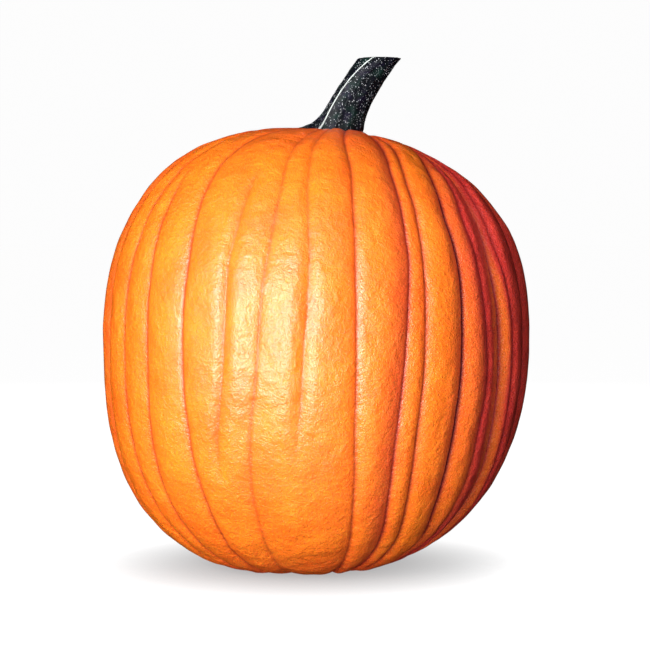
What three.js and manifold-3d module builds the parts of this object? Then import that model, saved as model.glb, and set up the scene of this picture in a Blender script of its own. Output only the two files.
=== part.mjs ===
// A pumpkin, as picked: one ribbed fruit, and the ridged, curved stem that is left on its crown.
// Millimetres, +Z up. X runs to the right and -Y faces the front. The fruit stands on Z = 0, and
// the Z axis goes through the middle of its box.
import * as THREE from 'three';
import { mergeVertices } from 'three/addons/utils/BufferGeometryUtils.js';
import Module from 'manifold-3d';

// ---------------------------------------------------------------- driving dimensions

// Fruit. A level runs from 0 at the blossom end, underneath, to 1 at the middle of the crown.
const BELLY_RADIUS = 150.5;        // half the width, at the widest height
const BELLY_HEIGHT = 167.6;        // from the lowest level to the widest height
const CROWN_HEIGHT = 147.9;        // from the widest height to the crown
const UPPER_SQUARENESS = 2.41;     // 2 is an ellipse, and a larger number is boxier
const LOWER_SQUARENESS = 2.41;
const UPPER_RIGHT_FULLNESS = 0.01; // how much boxier the right side is than the left
const LOWER_RIGHT_FULLNESS = -0.2;
const CROWN_FALL = 0.11;           // drop of the crown for each millimetre to the right
const CROWN_FALL_REACH = 2.67;     // a larger number keeps that drop nearer to the crown
const CROWN_SHIFT = 18.5;          // the stem grew this far to the right of the middle
const CROWN_SHIFT_RADIUS = 84.6;
const CROWN_RECESS = 6.5;          // shallow dish round the stem
const CROWN_RECESS_RADIUS = 27;
const BLOSSOM_RECESS = 12;         // dimple under the fruit
const BLOSSOM_RECESS_RADIUS = 40;
const SCAR_HEIGHT = 2.2;           // corky button that the flower left in the dimple
const SCAR_RADIUS = 8;
const REST_CUT = 8;                // level of the small flat that the lobes stand on

// Furrows between the lobes, from the left edge round by the front to the right edge. Each has
// its azimuth in degrees from the front at each of PATH_LEVELS, the depth of its narrow crease
// and of the broad valley round it, how far that valley reaches to the left and to the right of
// the crease, and the levels between which it shows.
const PATH_LEVELS = [0.2, 0.3, 0.4, 0.5, 0.6, 0.7, 0.8, 0.9];
const FRONT_FURROWS = [
  { path: [-59, -59.9, -60.2, -60.8, -60.5, -61, -62, -64],
    crease: 2.0, valley: 1.6, left: 8, right: 8, low: 0, high: 1 },
  { path: [-48, -49.7, -49.6, -48.9, -49.9, -52, -55, -56],
    crease: 1.8, valley: 1.5, left: 8, right: 8, low: 0, high: 0.74 },
  { path: [-34, -33.9, -35, -36, -36.1, -38, -40.5, -43],
    crease: 1.8, valley: 1.6, left: 8, right: 10, low: 0, high: 0.9 },
  { path: [-27, -26.5, -26.2, -23.5, -23.5, -22, -22, -22],
    crease: 0.8, valley: 1.8, left: 4, right: 5, low: 0.37, high: 0.75 },
  { path: [-18.1, -18.2, -17.5, -14.7, -13.1, -11.9, -13.4, -16],
    crease: 1.0, valley: 1.9, left: 13, right: 7, low: 0, high: 1 },
  { path: [-5, -5, -4.5, -2.8, -1.9, -2.8, -4.5, -7],
    crease: 0.8, valley: 1.7, left: 5, right: 5, low: 0.42, high: 0.97 },
  { path: [12.8, 11.5, 10.4, 10.3, 10.4, 10.7, 11.1, 8],
    crease: 1.8, valley: 1.8, left: 9, right: 5, low: 0, high: 1 },
  { path: [25.2, 22.7, 21.9, 23.4, 25.2, 26.3, 28, 33],
    crease: 2.2, valley: 2.6, left: 9, right: 8, low: 0, high: 1 },
  { path: [32.8, 29.4, 27.8, 29, 29.8, 31, 34, 41],
    crease: 2.2, valley: 1.8, left: 7, right: 6, low: 0, high: 1 },
  { path: [48, 42, 40.5, 41.5, 42, 42.7, 49.3, 64],
    crease: 3.4, valley: 3.0, left: 7, right: 9, low: 0, high: 1 },
  { path: [54, 51.5, 50.2, 50.8, 49.2, 50.2, 57, 68],
    crease: 1.4, valley: 1.2, left: 7, right: 4, low: 0.15, high: 0.86 },
  { path: [66, 64.8, 61, 60.1, 58.4, 60.8, 68, 77],
    crease: 4.4, valley: 6.4, left: 18, right: 6, low: 0, high: 1 },
  { path: [72, 70, 66, 64.5, 61.8, 63.2, 72, 82],
    crease: 1.6, valley: 1.6, left: 8, right: 4, low: 0.1, high: 0.9 },
  { path: [82, 81, 80, 79.5, 78.5, 81.5, 86, 92],
    crease: 3.4, valley: 4.4, left: 18, right: 8, low: 0, high: 1 },
];
const BACK_FURROWS = 14;           // evenly spaced by rule between the last and the first above
const BACK_WANDER = 2.2;           // degrees that each of them strays from even spacing
const BACK_WAVE = 0.9;             // degrees that it waves to each side on its way up
const BACK_WAVES = 9;              // radians of that wave from underside to crown
const BACK_CREASE = [1.6, 4.2];    // shallowest and deepest
const BACK_VALLEY = [1.4, 2.6];
const BACK_REACH = 9;              // of their valleys, to each side
const FADE = 0.05;                 // a partial furrow dies out over this much of the height
const CREASE_WIDTH = 1.9;
const CREASE_BLUNTNESS = 0.5;
const VALLEY_NARROWING = 0.8;      // power of the radius by which valleys narrow to the ends
const LOBE_SHARES = [0, 0.1, 0.36, 0.64, 0.9];  // where each lobe's breadth is sampled
const FRUIT_ROWS = 32;
const SCAR_LEVELS = [0.004, 0.009, 0.017];  // extra rows, close together, for the scar

// Stem: a pile of level sections from its buried foot up to the flat cut.
const STEM_CUT_HEIGHT = 358;       // of the cut, above the ground
const STEM_FOOT_HEIGHT = 292.2;    // of its lower end, sunk in the crown
const STEM_FOOT_X = 10.5;          // middle of the foot
const STEM_LEAN = 0.213;           // sideways travel for each millimetre up, at the foot
const STEM_BEND = 0.0048;          // and how fast that grows
const STEM_HALF_WIDTH = 15.2;      // left to right
const STEM_HALF_DEPTH = 12.5;      // front to back
const FOOT_FLARE = { uphill: 1.1, downhill: 0.2 };  // how far the foot spreads, as a share
const FLARE_HEIGHT = { uphill: 4, downhill: 10 };   // uphill is to the left of the stem
const TOE_NARROWNESS = 12;         // of the foot's toe uphill
const CROWN_LINE = 308.2;          // height at which the foot comes out of the crown
const RIDGES = 5;
const FLUTE_FLOOR = 0.86;          // of the hollows between the ridges, as a share of the section
const RIDGE_HEIGHT = 0.2;          // of the five sharp ridges, as a share of the section
const MINOR_RIDGE_HEIGHT = 0.13;   // and of the softer ones between them
const FIRST_RIDGE = -44;           // azimuth in degrees, at the foot
const STEM_TWIST = 26;             // degrees that the ridges turn from foot to cut
const TWIST_LATENESS = 6;          // how far they keep that turn for the top of the stem
const STEM_SIDES = 30;
const STEM_ROWS = 16;
const GAP = 0.3;                   // between the stem's foot and its socket

const RIND_COLOUR = 0xf08a24;
const STEM_COLOUR = 0x1c2a22;
const SEED = 41;

// ---------------------------------------------------------------- small helpers

const wasm = await Module();
wasm.setup();

const radians = (degrees) => THREE.MathUtils.degToRad(degrees);
const bell = (distance, width) => Math.exp(-((distance / width) ** 2));

// A repeatable random number from 0 to 1 on each call.
function seededRandom(seed) {
  let state = seed;
  return () => {
    state = (state * 1664525 + 1013904223) % 4294967296;
    return state / 4294967296;
  };
}

// A closed mesh from a pile of rings with equal numbers of points, listed upward and
// anticlockwise from above, with one point to close each end.
function closedPile(rings, lowPoint, highPoint) {
  const sides = rings[0].length;
  const points = [...rings.flat(), lowPoint, highPoint];
  const low = rings.length * sides;
  const high = low + 1;
  const faces = [];
  for (let side = 0; side < sides; side++) {
    const next = (side + 1) % sides;
    faces.push(low, next, side);
    for (let row = 0; row + 1 < rings.length; row++) {
      const here = row * sides;
      const above = here + sides;
      faces.push(here + side, here + next, above + next);
      faces.push(here + side, above + next, above + side);
    }
    const top = (rings.length - 1) * sides;
    faces.push(high, top + side, top + next);
  }
  const geometry = new THREE.BufferGeometry();
  geometry.setAttribute('position', new THREE.Float32BufferAttribute(points.flat(), 3));
  geometry.setIndex(faces);
  return geometry;
}

// A three.js geometry with each corner kept once, so that it closes.
function weld(geometry) {
  geometry.deleteAttribute('normal');
  geometry.deleteAttribute('uv');
  return mergeVertices(geometry);
}

function toSolid(geometry) {
  return new wasm.Manifold(new wasm.Mesh({
    numProp: 3,
    vertProperties: Float32Array.from(geometry.attributes.position.array),
    triVerts: Uint32Array.from(geometry.index.array),
  }));
}

function toGeometry(solid) {
  const mesh = solid.getMesh();
  const geometry = new THREE.BufferGeometry();
  geometry.setAttribute('position', new THREE.BufferAttribute(mesh.vertProperties, 3));
  geometry.setIndex(new THREE.BufferAttribute(mesh.triVerts, 1));
  return geometry;
}

// ---------------------------------------------------------------- furrows

// The furrows of the back, spaced by rule, carry on from the right edge round to the left one.
function backFurrows() {
  const random = seededRandom(SEED);
  const between = ([least, most]) => least + (most - least) * random();
  const from = FRONT_FURROWS.at(-1).path;
  const to = FRONT_FURROWS[0].path.map((azimuth) => azimuth + 360);
  return Array.from({ length: BACK_FURROWS }, (_, index) => {
    const share = (index + 1) / (BACK_FURROWS + 1);
    const stray = BACK_WANDER * (2 * random() - 1);
    const path = PATH_LEVELS.map((level, i) => {
      const wave = BACK_WAVE * Math.sin(BACK_WAVES * (level + share));
      return from[i] + share * (to[i] - from[i]) + stray + wave;
    });
    const depths = { crease: between(BACK_CREASE), valley: between(BACK_VALLEY) };
    return { path, ...depths, left: BACK_REACH, right: BACK_REACH, low: 0, high: 1 };
  });
}

const FURROWS = [...FRONT_FURROWS, ...backFurrows()];

// A furrow's azimuth in degrees at a level, on a smooth curve through its listed points.
function azimuthOf(furrow, level) {
  const last = PATH_LEVELS.length - 1;
  const step = PATH_LEVELS[1] - PATH_LEVELS[0];
  const place = THREE.MathUtils.clamp((level - PATH_LEVELS[0]) / step, 0, last);
  const index = Math.min(Math.floor(place), last - 1);
  const share = place - index;
  const at = (i) => furrow.path[THREE.MathUtils.clamp(i, 0, last)];
  const [a, b, c, d] = [at(index - 1), at(index), at(index + 1), at(index + 2)];
  const linear = (c - a) / 2;
  const square = a - 2.5 * b + 2 * c - d / 2;
  const cube = (d - a) / 2 + 1.5 * (b - c);
  return b + share * (linear + share * (square + share * cube));
}

// How much of a furrow shows at a level, from 0 to 1.
function presence(furrow, level) {
  const smooth = THREE.MathUtils.smoothstep;
  const begins = furrow.low > 0 ? smooth(level, furrow.low - FADE, furrow.low + FADE) : 1;
  const ends = furrow.high < 1 ? 1 - smooth(level, furrow.high - FADE, furrow.high + FADE) : 1;
  return begins * ends;
}

// Depth of the skin below its bare form at an azimuth in degrees.
function furrowDepth(azimuth, level, radius) {
  const narrowing = radius / BELLY_RADIUS;
  const creaseWidth = CREASE_WIDTH * Math.sqrt(narrowing);
  let depth = 0;
  for (const furrow of FURROWS) {
    const turn = THREE.MathUtils.euclideanModulo(azimuth - azimuthOf(furrow, level) + 180, 360) - 180;
    const away = radians(turn) * radius;
    const crease = furrow.crease * Math.exp(-Math.hypot(away, CREASE_BLUNTNESS) / creaseWidth);
    const reach = (turn < 0 ? furrow.left : furrow.right) * narrowing ** VALLEY_NARROWING;
    depth += presence(furrow, level) * (crease + furrow.valley * bell(away, reach));
  }
  return depth * Math.sqrt(narrowing);
}

// ---------------------------------------------------------------- fruit

// The fruit's skin without its furrows, at an azimuth in degrees.
function bareSkin(azimuth, level) {
  const slope = (level - 0.5) * Math.PI;
  const upper = slope > 0;
  const right = Math.sin(radians(azimuth));
  const squareness = upper
    ? UPPER_SQUARENESS + UPPER_RIGHT_FULLNESS * right
    : LOWER_SQUARENESS + LOWER_RIGHT_FULLNESS * right;
  const radius = BELLY_RADIUS * Math.cos(slope) ** (2 / squareness);
  const climb = Math.abs(Math.sin(slope)) ** (2 / squareness);
  let x = radius * right;
  const y = -radius * Math.cos(radians(azimuth));
  let z = BELLY_HEIGHT - REST_CUT;
  if (upper) {
    z += CROWN_HEIGHT * climb - CROWN_RECESS * bell(radius, CROWN_RECESS_RADIUS);
    z -= CROWN_FALL * x * climb ** CROWN_FALL_REACH;
    x += CROWN_SHIFT * bell(radius, CROWN_SHIFT_RADIUS) * climb;
  } else {
    z += BLOSSOM_RECESS * bell(radius, BLOSSOM_RECESS_RADIUS) - BELLY_HEIGHT * climb;
    z -= SCAR_HEIGHT * bell(radius, SCAR_RADIUS);
  }
  return { point: new THREE.Vector3(x, y, z), radius };
}

// The finished skin: the bare one sunk by its furrows, square to its own surface.
function skin(azimuth, level) {
  const { point, radius } = bareSkin(azimuth, level);
  const nudge = 0.002;
  const along = bareSkin(azimuth + 360 * nudge, level).point.sub(point);
  const lower = bareSkin(azimuth, level - nudge).point;
  const outward = along.cross(bareSkin(azimuth, level + nudge).point.sub(lower)).normalize();
  return point.addScaledVector(outward, -furrowDepth(azimuth, level, radius)).toArray();
}

function fruitSolid() {
  const rows = Array.from({ length: FRUIT_ROWS - 1 }, (_, row) => (row + 1) / FRUIT_ROWS);
  const rings = [...SCAR_LEVELS, ...rows].map((level) => {
    return FURROWS.flatMap((furrow, index) => {
      const start = azimuthOf(furrow, level);
      const isLast = index === FURROWS.length - 1;
      const end = azimuthOf(isLast ? FURROWS[0] : FURROWS[index + 1], level) + (isLast ? 360 : 0);
      return LOBE_SHARES.map((share) => skin(start + share * (end - start), level));
    });
  });
  const blossomEnd = bareSkin(0, 0).point.toArray();
  const crownMiddle = bareSkin(0, 1).point.toArray();
  const ground = new THREE.BoxGeometry(4 * BELLY_RADIUS, 4 * BELLY_RADIUS, BELLY_HEIGHT);
  ground.translate(0, 0, -BELLY_HEIGHT / 2);
  return toSolid(closedPile(rings, blossomEnd, crownMiddle)).subtract(toSolid(weld(ground)));
}

// ---------------------------------------------------------------- stem

// A ridge's height at a turn in degrees from its crest, from 1 down to 0 halfway to the next.
function ridgeAt(turn, count) {
  const pitch = 360 / count;
  const away = Math.abs(THREE.MathUtils.euclideanModulo(turn + pitch / 2, pitch) - pitch / 2);
  return (1 - away / (pitch / 2)) ** 2;
}

// A level section of the stem, widened all round by the gap for the socket.
function stemSection(height, gap) {
  const rise = height - STEM_FOOT_HEIGHT;
  const climb = rise / (STEM_CUT_HEIGHT - STEM_FOOT_HEIGHT);
  const middleX = STEM_FOOT_X + STEM_LEAN * rise + STEM_BEND * rise * rise;
  const showing = Math.max(height - CROWN_LINE, 0);
  return Array.from({ length: STEM_SIDES }, (_, side) => {
    const azimuth = (360 * side) / STEM_SIDES;
    const turn = azimuth - FIRST_RIDGE - STEM_TWIST * Math.abs(climb) ** TWIST_LATENESS;
    const ridges = RIDGE_HEIGHT * ridgeAt(turn, RIDGES);
    const minor = MINOR_RIDGE_HEIGHT * ridgeAt(turn + 180 / RIDGES, RIDGES);
    const right = Math.sin(radians(azimuth));
    const toe = ((1 - right) / 2) ** TOE_NARROWNESS;
    const uphill = FOOT_FLARE.uphill * toe * Math.exp(-showing / FLARE_HEIGHT.uphill);
    const downhill = FOOT_FLARE.downhill * Math.max(right, 0)
      * Math.exp(-showing / FLARE_HEIGHT.downhill);
    const spread = (FLUTE_FLOOR + ridges + minor) * (1 + uphill + downhill);
    const x = middleX + (STEM_HALF_WIDTH * spread + gap) * right;
    const y = -(STEM_HALF_DEPTH * spread + gap) * Math.cos(radians(azimuth));
    return [x, y, height];
  });
}

function stemSolid(gap) {
  const foot = STEM_FOOT_HEIGHT - gap;
  const step = (STEM_CUT_HEIGHT - foot) / (STEM_ROWS - 1);
  const rings = Array.from({ length: STEM_ROWS }, (_, row) => stemSection(foot + row * step, gap));
  const middle = (ring) => {
    const sum = ring.reduce(([x, y], point) => [x + point[0], y + point[1]], [0, 0]);
    return [sum[0] / ring.length, sum[1] / ring.length, ring[0][2]];
  };
  return toSolid(closedPile(rings, middle(rings[0]), middle(rings.at(-1))));
}

// ---------------------------------------------------------------- assembly

function part(name, solid, colour, roughness) {
  const material = new THREE.MeshStandardMaterial({ color: colour, roughness, metalness: 0 });
  const mesh = new THREE.Mesh(toGeometry(solid), material);
  mesh.name = name;
  return mesh;
}

const pumpkin = new THREE.Group();
pumpkin.add(part('fruit', fruitSolid().subtract(stemSolid(GAP)), RIND_COLOUR, 0.35));
pumpkin.add(part('stem', stemSolid(0), STEM_COLOUR, 0.55));

// The Z axis goes through the middle of the whole.
const middle = new THREE.Box3().setFromObject(pumpkin).getCenter(new THREE.Vector3());
pumpkin.position.set(-middle.x, -middle.y, 0);
pumpkin.updateMatrixWorld(true);

export default pumpkin;
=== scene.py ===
"""Finished surfaces for a carving pumpkin: the waxy ribbed fruit, its dry stem and the stem's prickles.

Sizes in the shape code are millimetres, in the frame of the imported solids: +Z up, -Y to the front.
A level runs from 0 at the blossom end, underneath, to 1 at the middle of the crown, and an azimuth
is in degrees from the front, growing to the right.
"""
import math
import random

import bpy
import numpy as np
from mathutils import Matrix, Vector, noise


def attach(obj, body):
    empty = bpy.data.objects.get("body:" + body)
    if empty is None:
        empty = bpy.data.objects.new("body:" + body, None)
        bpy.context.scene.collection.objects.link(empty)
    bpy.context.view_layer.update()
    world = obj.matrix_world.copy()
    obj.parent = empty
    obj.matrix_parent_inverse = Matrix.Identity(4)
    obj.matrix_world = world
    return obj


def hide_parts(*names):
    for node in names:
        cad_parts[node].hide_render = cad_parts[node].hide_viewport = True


bl_info = {
    "name": "Carving pumpkin",
    "version": (1, 0, 0),
    "blender": (4, 5, 0),
    "location": "View3D > Sidebar > Pumpkin",
    "description": "Builds a ribbed pumpkin with a cut stem round its packed solids",
    "category": "Add Mesh",
}

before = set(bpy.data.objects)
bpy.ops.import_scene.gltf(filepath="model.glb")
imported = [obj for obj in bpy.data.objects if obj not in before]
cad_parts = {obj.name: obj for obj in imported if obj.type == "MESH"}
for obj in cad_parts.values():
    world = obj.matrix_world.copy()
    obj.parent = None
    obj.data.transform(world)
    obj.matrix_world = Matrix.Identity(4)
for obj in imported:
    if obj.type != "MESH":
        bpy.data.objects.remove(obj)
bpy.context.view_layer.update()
MM = 0.001

# ---------------------------------------------------------------- the fruit's form

BELLY_HEIGHT = 167.6         # from the lowest level to the widest height
CROWN_HEIGHT = 147.9         # from the widest height to the crown
SKIN_HEIGHT = BELLY_HEIGHT + CROWN_HEIGHT
UPPER_SQUARENESS = 2.41      # 2 is an ellipse, and a larger number is boxier
LOWER_SQUARENESS = 2.41
UPPER_RIGHT_FULLNESS = 0.01  # how much boxier the right side is than the left
LOWER_RIGHT_FULLNESS = -0.2
CROWN_FALL = 0.11            # drop of the crown for each millimetre to the right
CROWN_FALL_REACH = 2.67      # how far that is kept to the top of the crown
CROWN_SHIFT = 18.5           # the stem grew this far to the right of the middle
CROWN_SHIFT_RADIUS = 84.6
CROWN_RECESS = 6.5
CROWN_RECESS_RADIUS = 27
BLOSSOM_RECESS = 12
BLOSSOM_RECESS_RADIUS = 40
SCAR_HEIGHT = 2.2
SCAR_RADIUS = 8
REST_CUT = 8.0               # level of the flats that the lobes stand on
AXIS_SHIFT = (-0.12, 0.12)   # from the skin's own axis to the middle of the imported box

# Furrows round the front, left to right: the azimuth at each of PATH_LEVELS, the depths of the
# narrow crease and of the broad valley, the valley's reach to its left and to its right, the
# levels between which it shows, and how much it wriggles on its way up.
PATH_LEVELS = (0.2, 0.3, 0.4, 0.5, 0.6, 0.7, 0.8, 0.9)
FRONT_FURROWS = (
    ((-59, -59.9, -60.2, -60.8, -60.5, -61, -62, -64), 2.0, 1.6, 8, 8, 0, 1, 0.2),
    ((-48, -49.7, -49.6, -48.9, -49.9, -52, -55, -56), 1.8, 1.5, 8, 8, 0, 0.74, 0.2),
    ((-34, -33.9, -35, -36, -36.1, -38, -40.5, -43), 1.8, 1.6, 8, 10, 0, 0.9, 0.2),
    ((-27, -26.5, -26.2, -23.5, -23.5, -22, -22, -22), 0.8, 1.8, 4, 5, 0.37, 0.75, 0.5),
    ((-18.1, -18.2, -17.5, -14.7, -13.1, -11.9, -13.4, -16), 1.0, 2.2, 13, 16, 0, 1, 0.5),
    ((-5, -5, -4.5, -2.8, -1.9, -2.8, -4.5, -7), 0.8, 1.7, 5, 5, 0.42, 0.97, 0.5),
    ((12.8, 11.5, 10.4, 10.3, 10.4, 10.7, 11.1, 8), 1.8, 1.8, 9, 5, 0, 1, 0.2),
    ((25.2, 22.7, 21.9, 23.4, 25.2, 26.3, 28, 33), 2.2, 2.6, 9, 8, 0, 1, 0.5),
    ((32.8, 29.4, 27.8, 29, 29.8, 31, 34, 41), 2.2, 1.8, 7, 6, 0, 1, 0.3),
    ((48, 42, 40.5, 41.5, 42, 42.7, 49.3, 64), 3.4, 3.0, 7, 9, 0, 1, 0.3),
    ((54, 51.5, 50.2, 50.8, 49.2, 50.2, 57, 68), 1.4, 1.2, 7, 4, 0.15, 0.86, 1.0),
    ((66, 64.8, 61, 60.1, 58.4, 60.8, 68, 77), 4.4, 6.4, 18, 6, 0, 1, 0.3),
    ((72, 70, 66, 64.5, 61.8, 63.2, 72, 82), 1.6, 1.6, 8, 4, 0.1, 0.9, 1.0),
    ((82, 81, 80, 79.5, 78.5, 81.5, 86, 92), 3.4, 4.4, 18, 8, 0, 1, 0.5),
)
BACK_FURROWS = 14            # spaced by rule between the last and the first above
BACK_WANDER = 2.2            # degrees that each may stray from its even place
BACK_WAVE = 0.9              # degrees that each sways on its way up
BACK_WAVES = 9               # how fast it sways
BACK_CREASE = (1.6, 4.2)     # least and greatest depth
BACK_VALLEY = (1.4, 2.6)     # least and greatest depth
BACK_REACH = 9
BACK_WRIGGLE = 0.6
FADE = 0.05                  # share of the height to each side of its end where a furrow fades
WRIGGLE_LEVELS = 0.07        # length of a wriggle, as a share of the height
CREASE_WIDTH = 1.9           # from a crease's bottom to where it is a third as deep
CREASE_BLUNTNESS = 0.5       # rounding of its bottom
VALLEY_NARROWING = 0.8       # of the valleys towards the ends
SHADE_LINE_WIDTH = 1.2             # of the painted dark line of shade down in a crease
SHADE_LINE_STRENGTH = 1.25         # of that line in the deepest crease, before it is held to 1
SHADE_LINE_EASE = 0.9              # power of a crease's share of the greatest depth in that strength
TINT_WIDTH = 2.8             # reach of the redder skin to each side of a crease
LEAST_TINT = 0.1             # redness beside the shallowest crease

# Painted crimson shade beside the deep valleys, mostly left of their creases, and over the right side.
SHALLOW_VALLEY = 1.5         # the deepest valley without it
SHADE_PER_DEPTH = 0.45       # its strength for each millimetre past that depth
SHADE_REACH = 1.6            # its reach to the left of the crease, as a share of the valley's
SHADE_EDGE = 1.5             # its reach to the right of the crease
SHADE_START = (0, 20)        # azimuths over which the valleys come to have it
SHADED_SIDE_FURROW = 12         # index of the furrow from which the whole side has it
SHADED_SIDE_START = (-4, -0.5)  # degrees past that furrow over which it comes in
SHADED_SIDE_END = (72, 112)     # azimuths over which it pales again
DEEPEST_SHADE = 0.85

LOBE_CROWDING = 0.75         # how far the mesh's columns crowd towards the furrows
SEED = 41

# Lumps in the skin: size across a rib, size along it, and height.
LUMPS = ((17, 42, 0.6), (8, 14, 0.36))

# Marks on the skin: azimuth, level, half breadth, half length and height.
MARKS = (
    (-5.5, 0.285, 6, 7, 1.3),
    (6, 0.93, 24, 16, 2.6),
    (-33, 0.215, 5, 4, 0.7),
    (16, 0.46, 7, 16, 0.9),
    (15, 0.37, 6, 9, 0.6),
    (-10, 0.36, 5, 12, -0.6),
    (142, 0.44, 9, 12, -0.9),
    (-152, 0.61, 7, 18, 0.8),
    (101, 0.33, 6, 8, 0.7),
)
# Fine level wrinkles in the skin: azimuth, level, half breadth, half length and height.
WRINKLES = ((-18, 0.2, 26, 22, 0.32), (-14, 0.27, 16, 12, 0.26), (52, 0.4, 12, 60, 0.5))
WRINKLE_LENGTH = 15
WRINKLE_PITCH = 4.6          # from one to the next up the skin
OPEN_SKIN = (0.12, 0.26)     # share of the belly's radius over which these details come in

# Painted red-orange shade round the stem and underneath: its strength, and the radii or levels over
# which it comes in.
CROWN_SHADE = 0.85
CROWN_SHADE_RADII = (95, 12)
CROWN_SHADE_LEVELS = (0.6, 0.9)
BASE_SHADE = 0.75
BASE_SHADE_LEVELS = (0.24, 0.04)
TIP_SHADES = (0.8, 0.9)        # strength at the lowest and the highest point of the mesh
END_SHADE_PATCHES = (22, 22, 30)
END_SHADE_UNEVENNESS = 0.3
SCAR_EDGE = (1.1, 0.6)       # shares of the scar's radius over which its cork comes in

# ---------------------------------------------------------------- the stem's form

STEM_CUT_HEIGHT = 358
STEM_FOOT_HEIGHT = 292.2     # sunk into the crown
STEM_FOOT_X = 10.5
STEM_LEAN = 0.213            # millimetres to the right for each one up, at the foot
STEM_BEND = 0.0048
FOOT_FLARE = (0.2, 1.1)      # spread of the foot downhill, at the right, and of its toe uphill
FLARE_HEIGHT = (10, 4)       # heights over which those two die away
TOE_NARROWNESS = 12
CROWN_LINE = 308.2           # height at which the stem leaves the crown
FIRST_RIDGE = -44            # azimuth of the first ridge at the foot
TWIST_LATENESS = 6           # how far the ridges keep their turn for the top of the stem
RIDGE_HEIGHTS = (0.2, 0.12, 0.19, 0.2, 0.18)
RIDGE_HIGHLIGHTS = (1.0, 0.3, 0.6, 0.9, 0.5)  # how strong the painted highlight along each crest is
MINOR_RIDGE_HEIGHT = 0.13
FLUTE_FLOOR = 0.86           # share of the section down in the flutes
FIBRE_SIZES = (3.2, 3.2, 16)  # breadths and length of the stem's fibrous relief
FIBRE_HEIGHT = 0.35
FIBRE_FADE = 2               # below the cut, over which they die away
RIM_ROUNDING = 0.7           # of the worn edge round the cut
CUT_RINGS = 9
CUT_DISH = 1.4               # how far the pith has shrunk below the rim
CUT_RAY_ANGLE = 14           # between the rays of the cut
CUT_RAY_DEPTH = 0.5          # how unevenly the cut has shrunk from ray to ray
PITH_EDGE = (0.6, 1.0)       # share of the way in over which the pith begins
PRICKLE_HEIGHTS = (CROWN_LINE + 1, STEM_CUT_HEIGHT - 1.5)
PRICKLE_BREADTHS = (0.12, 0.3)
PRICKLE_LENGTHS = (0.3, 1.0)
PRICKLE_ROOT = 0.5           # sunk into the stem
PRICKLE_LEAN = 0.4           # the most to each side, for each millimetre of length
PRICKLE_SIDES = 5


def linear(code):
    """Linear colour of an sRGB hex code such as #F08A24."""
    parts = [int(code[i:i + 2], 16) / 255 for i in (1, 3, 5)]
    return tuple(c / 12.92 if c <= 0.04045 else ((c + 0.055) / 1.055) ** 2.4 for c in parts)


def smooth(low, high, value):
    share = np.clip((value - low) / (high - low), 0, 1)
    return share * share * (3 - 2 * share)


def bell(distance, width):
    return np.exp(-((distance / width) ** 2))


def relief_noise(points, sizes, offset=0.0):
    """Smooth noise from -1 to 1 at each point, with a size in millimetres along each axis."""
    scaled = points.reshape(-1, 3) / np.array(sizes) + offset
    values = np.fromiter((noise.noise(Vector(p)) for p in scaled), float, len(scaled))
    return values.reshape(points.shape[:-1])


# ---------------------------------------------------------------- furrows

def seeded_random(seed):
    """The same small generator that placed the solid's furrows, so that these ones match it."""
    state = seed
    while True:
        state = (state * 1664525 + 1013904223) % 4294967296
        yield state / 4294967296


def all_furrows():
    draws = seeded_random(SEED)
    furrows = list(FRONT_FURROWS)
    start = np.array(FRONT_FURROWS[-1][0], float)
    end = np.array(FRONT_FURROWS[0][0], float) + 360
    levels = np.array(PATH_LEVELS)
    for index in range(BACK_FURROWS):
        share = (index + 1) / (BACK_FURROWS + 1)
        stray = BACK_WANDER * (2 * next(draws) - 1)
        wave = BACK_WAVE * np.sin(BACK_WAVES * (levels + share))
        path = start + share * (end - start) + stray + wave
        crease = BACK_CREASE[0] + (BACK_CREASE[1] - BACK_CREASE[0]) * next(draws)
        valley = BACK_VALLEY[0] + (BACK_VALLEY[1] - BACK_VALLEY[0]) * next(draws)
        reaches = (BACK_REACH, BACK_REACH)
        furrows.append((tuple(path), crease, valley, *reaches, 0, 1, BACK_WRIGGLE))
    return furrows


FURROWS = all_furrows()


def azimuth_of(index, level):
    """A furrow's azimuth at each level of an array, on a smooth curve with small wriggles."""
    path, *_, wriggle = FURROWS[index]
    last = len(PATH_LEVELS) - 1
    step = PATH_LEVELS[1] - PATH_LEVELS[0]
    place = np.clip((level - PATH_LEVELS[0]) / step, 0, last)
    whole = np.minimum(place.astype(int), last - 1)
    share = place - whole
    points = np.array(path, float)
    a, b, c, d = (points[np.clip(whole + shift, 0, last)] for shift in (-1, 0, 1, 2))
    linear_part = (c - a) / 2
    square_part = a - 2.5 * b + 2 * c - d / 2
    cube_part = (d - a) / 2 + 1.5 * (b - c)
    curve = b + share * (linear_part + share * (square_part + share * cube_part))
    places = np.stack([level / WRIGGLE_LEVELS, 0 * level + 7.3 * index, 0 * level], -1)
    return curve + wriggle * relief_noise(places, (1, 1, 1), 0.37)


def presence(index, level):
    """How much of a furrow shows at each level, from 0 to 1."""
    *_, low, high, _ = FURROWS[index]
    begins = smooth(low - FADE, low + FADE, level) if low > 0 else 1
    ends = 1 - smooth(high - FADE, high + FADE, level) if high < 1 else 1
    return begins * ends


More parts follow.
